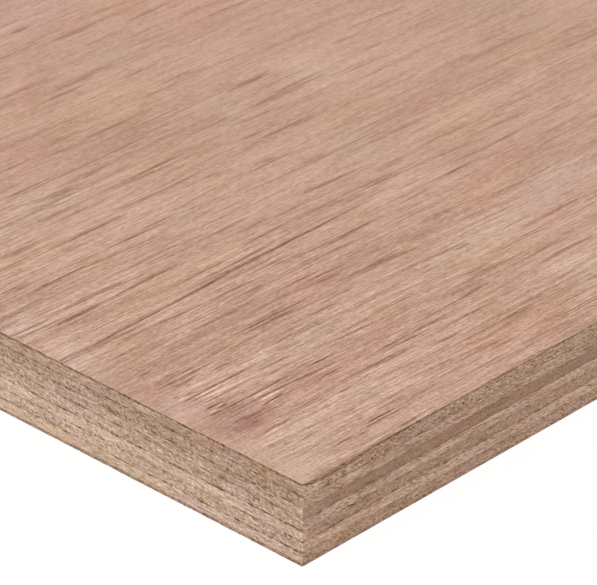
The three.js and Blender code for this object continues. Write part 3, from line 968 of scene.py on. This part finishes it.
# Dark and light streaks of the face near the corner, in millimetres along and across the grain
# from it: where each begins, where it ends, its half width and how dark it is, or light below 0
STREAKS = (
    (5.5, 36.4, 28, 36.4, 0.45, 58), (4.5, 35.2, 19, 35.2, 0.35, 48), (6, 33.1, 27, 33.2, 0.4, 42),
    (6, 31.2, 11.5, 31.3, 0.4, 55), (8, 30.05, 11.6, 30.05, 0.4, 88),
    (5, 29.15, 8.9, 29.15, 0.38, 46), (8.5, 28.9, 32, 28.8, 0.45, 55),
    (8.5, 28.9, 15, 28.9, 0.4, 14), (29, 28.8, 41, 28.1, 0.55, 42), (12, 27.1, 27, 26.9, 0.4, 55),
    (20, 26.9, 41, 25.7, 0.55, 38), (14, 24.6, 22.8, 25.4, 0.4, 82),
    (6.2, 24.2, 11, 24.0, 0.45, 28), (9, 23.6, 14.5, 23.5, 0.45, 26), (26, 24, 38, 23.7, 0.4, 50),
    (17, 20.6, 23, 20.5, 0.4, 20), (12, 19.3, 28, 19.3, 0.35, 42), (4.5, 17.5, 17, 17.6, 0.4, 38),
    (27.5, 17.7, 31.5, 17.4, 0.35, 52), (16.5, 40.5, 24, 40.5, 0.4, 42),
    (10, 40.1, 11.8, 40.1, 0.4, 55), (5, 38.4, 7, 38.5, 0.4, 38), (7, 37.6, 10.5, 37.5, 0.35, 42),
    (10, 13, 22, 13.1, 0.6, 16), (7, 12, 9.5, 12, 0.35, 38), (8, 10.9, 19, 10.8, 0.35, 50),
    (23.5, 11.6, 28, 11.6, 0.35, 38), (22.5, 8.2, 26, 8.2, 0.35, 42), (21.5, 6.2, 33, 6.1, 0.4, 55),
    (28, 7.9, 38, 7.8, 0.45, 32), (13, 4.9, 20, 5.1, 0.4, 48), (18, 5.3, 38, 5.2, 0.38, 52),
    (19, 4.4, 23, 4.4, 0.35, 24), (26, 0.9, 34, 0.8, 0.45, 58), (16, 0.3, 27, 0.2, 0.45, 20),
    (16, 1.1, 27, 0.9, 0.35, -30), (2, 43, 22, 42.9, 0.45, 42), (4.5, 36.4, 11.5, 36.3, 0.42, 46),
    (5.3, 31.2, 9, 31.2, 0.4, 30), (11, 44.2, 18, 44.1, 0.5, 30), (5, 42.9, 11, 43.0, 0.4, 30),
    (2, 32.4, 9, 32.4, 0.4, -12), (6, 35.8, 20.5, 35.7, 0.4, -42), (6, 34.2, 20, 34.1, 0.55, -18),
    (4, 37.2, 9, 36.9, 0.5, -32), (8, 39.1, 15, 39, 0.45, -30), (8.5, 30.6, 10.8, 30.6, 0.35, -54),
    (5.6, 29.85, 8.6, 29.85, 0.4, -42), (14.5, 28.2, 22.5, 28.1, 0.55, -42),
    (14.5, 26.2, 23, 26.2, 0.55, -42), (16, 24.4, 19.5, 24.7, 0.35, -55),
    (4, 16.9, 15.5, 16.8, 0.4, -42), (48, 21.8, 60, 21.6, 0.7, 24), (42, 10.8, 56, 10.8, 0.6, 22),
    (57, 11.4, 80, 12.2, 0.5, 30), (64, 13.4, 84, 13.6, 0.9, 26), (69, 25.2, 82, 25.6, 0.6, 34),
    (42, 33.2, 57, 32.5, 0.4, 26), (4, 63.7, 34, 64.4, 0.7, 44), (20, 64, 58, 65.2, 0.6, 56),
    (42, 65, 92, 65.6, 0.6, 60), (34, 66.7, 70, 67.3, 0.5, 44), (5, 74.2, 24, 74.8, 0.9, 28),
    (19, 74.4, 49, 74.9, 0.65, 38), (57, 75, 72, 75.1, 0.6, 30), (55, 70.6, 75, 71, 0.55, 34),
    (38, 78, 70, 78.5, 0.5, 26), (24, 80.6, 53, 80.5, 0.6, 42), (26.5, 47, 56, 46.8, 0.5, 54),
    (54, 46.7, 78, 46.9, 0.45, 32), (29, 46, 51, 45.6, 0.45, 36), (8, 45.4, 14.5, 45.3, 0.45, 42),
    (6, 41.4, 17, 41.4, 0.4, 62), (5.5, 48.9, 10, 48.9, 0.45, 36), (32, 59.3, 50, 60, 0.4, 26),
    (75, 76.8, 101, 76.6, 0.6, 42), (6, 87.3, 37, 87.5, 0.6, 32), (56, 91, 65, 90.6, 0.6, 28),
    (76, 91.3, 97, 91.5, 0.5, 28), (30, 97.5, 55, 97.1, 0.7, 30), (18, 101.2, 31, 101, 0.9, 30),
    (58, 107.4, 80, 107, 0.6, 28), (87, 60, 105, 60, 0.5, 30), (97, 61.7, 122, 61.7, 0.5, 24),
    (83, 38.8, 91, 38.8, 0.55, 34), (68, 144.8, 89, 144.2, 0.8, 32),
    (90, 140.5, 105, 140.5, 0.7, 28), (100, 119.8, 119, 120.4, 1, 32),
    (89, 173.2, 97, 173.2, 1, 28), (110, 159.6, 128, 159.5, 0.8, 24),
)


def skin_wood(name, seed, tone, streaks_drawn):
    """A sanded veneer: fine pores and fibres along X in streaks, bands and soft patches, with
    the streaks given drawn in. The fine grain is boldest near the corner, where the streaks are
    drawn, and the coarse figure far from it. x and y are measured from the corner, and out is
    their sum. What divides them is the length and width of a noise's patches in millimetres, and
    what multiplies the noises in tone is brightness on the scale to 255."""
    wood = Wood(name)
    x, y = wood.x + HALF_LENGTH_MM, wood.y + HALF_WIDTH_MM
    across = y + 0.5 * wood.noise(seed + 1, x / 80, y / 16, 1)
    out = x + y
    bold = out.eased(300, 60, 0.52) + out.eased(330, 600, 0.25) + 0.54
    bold = bold * (1 - x.eased(7, 3, 0.5) * y.eased(62, 52))  # softer beside the end's edge
    stringy = out.eased(280, 60, 26) + out.eased(330, 600, 26) + 24
    grit = wood.noise(seed + 2, x / 1.3, across / 0.33, 1)
    fibres = wood.noise(seed + 3, x / 9, across / 0.42, 2, 0.6)
    threads = wood.noise(seed + 4, x / 30, across / 0.9, 2, 0.6)
    streaks = wood.noise(seed + 5, x / 60, across / 2.6, 2, 0.6)
    bands = wood.noise(seed + 6, x / 220, across / 12, 2)
    mottle = wood.noise(seed + 12, x / 3.2, y / 1.3, 3, 0.75, 0)
    sand = wood.noise(seed + 17, x / 0.7, y / 0.5, 1, 0.5, 0)
    clouds = wood.noise(seed + 7, x / 22, y / 7, 3, 0.6, 0)
    sheet = wood.noise(seed + 8, x / 900, across / 60, 3)
    line = abs(wood.noise(seed + 9, x / 90, across / 1.9, 1)).eased(0.22, 0.06)
    lines = line * wood.noise(seed + 10, x / 26, across / 2.4, 2).eased(0.05, 0.4)
    hair = abs(wood.noise(seed + 15, x / 50, across / 0.9, 1)).eased(0.3, 0.08)
    hairs = hair * wood.noise(seed + 16, x / 16, across / 2.2, 1).eased(0.1, 0.5)
    dark = (33 * lines + 24 * hairs) * (out.eased(30, 80, 0.7) + 0.3)
    grain = 30 * grit + stringy * fibres + 18 * threads.least(0.1) - dark
    tone = tone + wood.lift + grain * bold + 10 * streaks + 10 * bands
    tone = tone + 16.5 * mottle + 11 * clouds + sheet * (out.eased(450, 1200, 16) + 8)
    tone = tone + sand * (out.eased(160, 40, 14) + 6)
    ragged = y + 0.16 * wood.noise(seed + 11, x / 5, y / 3, 1)
    tone = wood.streaked(tone, x, ragged, streaks_drawn)
    hue = wood.noise(seed + 13, x / 40, y / 14, 3, 0.5, 0) - wood.rosy
    cast = wood.noise(seed + 14, x / 34, y / 12, 3, 0.5, 0) - wood.plum
    height = 0.02 * fibres + 0.012 * grit - 0.03 * lines
    return wood.finish(wood.coloured(tone, FACE_TINTS, hue, cast), 0.55, height)


# Where the edges' pattern changes to that of their far parts, as the sum of x and y
FAR_EDGES_MM = np.array([230, 630]) - HALF_LENGTH_MM - HALF_WIDTH_MM
GLUE_AND_SHADE_DARKNESS = 64  # how much darker than the wood a full glue line is, on the scale to 255; the painted shade along the foot of the edges takes a share of it


def sawn_wood(name, k, side_tone, end_tone, end_contrast, crumbled):
    """The sawn edge of ply k: drawn-out fibres where it is cut along the grain, open pores, soft
    patches and small checks where it is cut across, and dark broken glue lines above and below.
    Along the foot of the back veneer, where there is no glue, the same dark line is painted shade
    where the sheet meets the floor.
    a runs along the edge, and away goes from 0 near the corner to 1 on its far parts. The numbers
    say the same as those of skin_wood."""
    wood = Wood(name)
    seed = 20 * k
    a, z = wood.x - wood.y, wood.z
    fibres = wood.noise(seed, a / 1.1, z / 0.32, 2, 0.75)
    threads = wood.noise(seed + 1, a / 6, z / 0.6, 2, 0.6)
    vessel, chance, size = wood.specks(seed + 1, a / 1.6, z / 0.45)
    vessels = (size * 0.4 + 0.1 - vessel).eased(0.0, 0.12) * chance.eased(0.55, 0.65)
    cells = wood.noise(seed + 2, a / 0.75, z / 0.5, 2, 0.8)
    away = (wood.x + wood.y).eased(*FAR_EDGES_MM)
    side = 78 * fibres + 30 * threads - 36 * vessels + crumbled * cells * (1 - 0.8 * away)
    pore, chance, size = wood.specks(seed + 2, a / 0.9, z / 0.7)
    pores = (size * 0.4 + 0.05 - pore).eased(0.0, 0.12) * chance.eased(0.5, 0.6)
    check = abs(wood.noise(seed + 3, a / 0.8, z / 1.8, 1)).eased(0.1, 0.0)
    checks = check * wood.noise(seed + 4, a / 3, z / 2, 1).eased(0.1, 0.5)
    patches = wood.noise(seed + 6, a / 3.5, z / 1.1, 2)
    end = (84 * cells + 24 * patches - 38 * pores - 38 * checks) * end_contrast
    tone = side + (end - side) * wood.end
    tone = tone + (wood.end * -10 + 30) * wood.noise(seed + 5, a / 9, z / 1.2, 3, 0.65)
    line = (wood.below - wood.above).eased(-0.01, 0.01) + k
    nearest = wood.below.least(wood.above)
    reach = 0.1 + 0.3 * wood.noise(line, a / 1.3, 0.5, 3, 0.7)
    darkness = 0.4 + 0.6 * away + 2.2 * wood.noise(line + 30, a / 3.5, 0.5, 3, 0.8)
    # dark glue lines, and along the back veneer's foot a painted shade line where the sheet meets
    # the floor
    glue_and_shade = (nearest - reach).eased(0.12, -0.05) * darkness.most(0).least(1.3) * wood.glue_and_shade
    tone = tone + 45 * away * wood.noise(seed + 7, a / 250, 0.5, 1)
    tone = side_tone + (end_tone - side_tone) * wood.end + tone + wood.lift
    tone = tone - GLUE_AND_SHADE_DARKNESS * glue_and_shade
    hue = 0.6 * wood.noise(8, a / 9, z / 4, 0) - wood.rosy
    cast = 1.3 * wood.noise(9, a / 11, z / 4.5, 0) - wood.plum
    height = 0.06 * fibres + (0.08 * cells - 0.06 * fibres) * wood.end - 0.06 * glue_and_shade
    return wood.finish(wood.coloured(tone, EDGE_TINTS, hue, cast), 0.85, height)


make_camera()
make_lights()
make_floor()
skins = {
    "face_veneer": skin_wood("face_wood", 0, 171, STREAKS),
    "back_veneer": skin_wood("back_wood", 400, 160, ()),
}
for k, node in enumerate(LAY_UP):
    ply = veneer(k)
    ply.data.materials.append(sawn_wood(node + "_edge", k, *EDGE_TONES[node]))
    if node in skins:
        ply.data.materials.append(skins[node])
    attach(ply, "root")
    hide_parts(node)
bpy.context.scene.view_settings.view_transform = "Standard"
